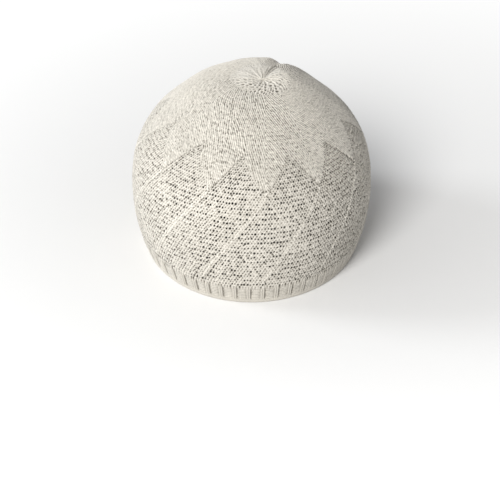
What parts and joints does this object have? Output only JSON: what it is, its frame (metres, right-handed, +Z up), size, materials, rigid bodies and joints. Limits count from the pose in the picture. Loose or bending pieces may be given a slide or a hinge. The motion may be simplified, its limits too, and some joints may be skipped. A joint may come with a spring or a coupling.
{
  "type": "knitted kufi cap",
  "caption": "Round brimless knitted cap with a ribbed hem, a diamond openwork band and a plain star crown drawn into a gather.",
  "frame": {"origin": "middle of the rim, in the flat plane that the cap rests on", "axes": "+Z up through the crown, +Y towards the front of the head, +X towards the right as seen from behind"},
  "size_m": [0.1663, 0.2045, 0.1232],
  "materials": {
    "cream_cotton": "matte knitted cotton"
  },
  "bodies": {
    "root": {"knit_cap": "cream_cotton"}
  },
  "joints": []
}
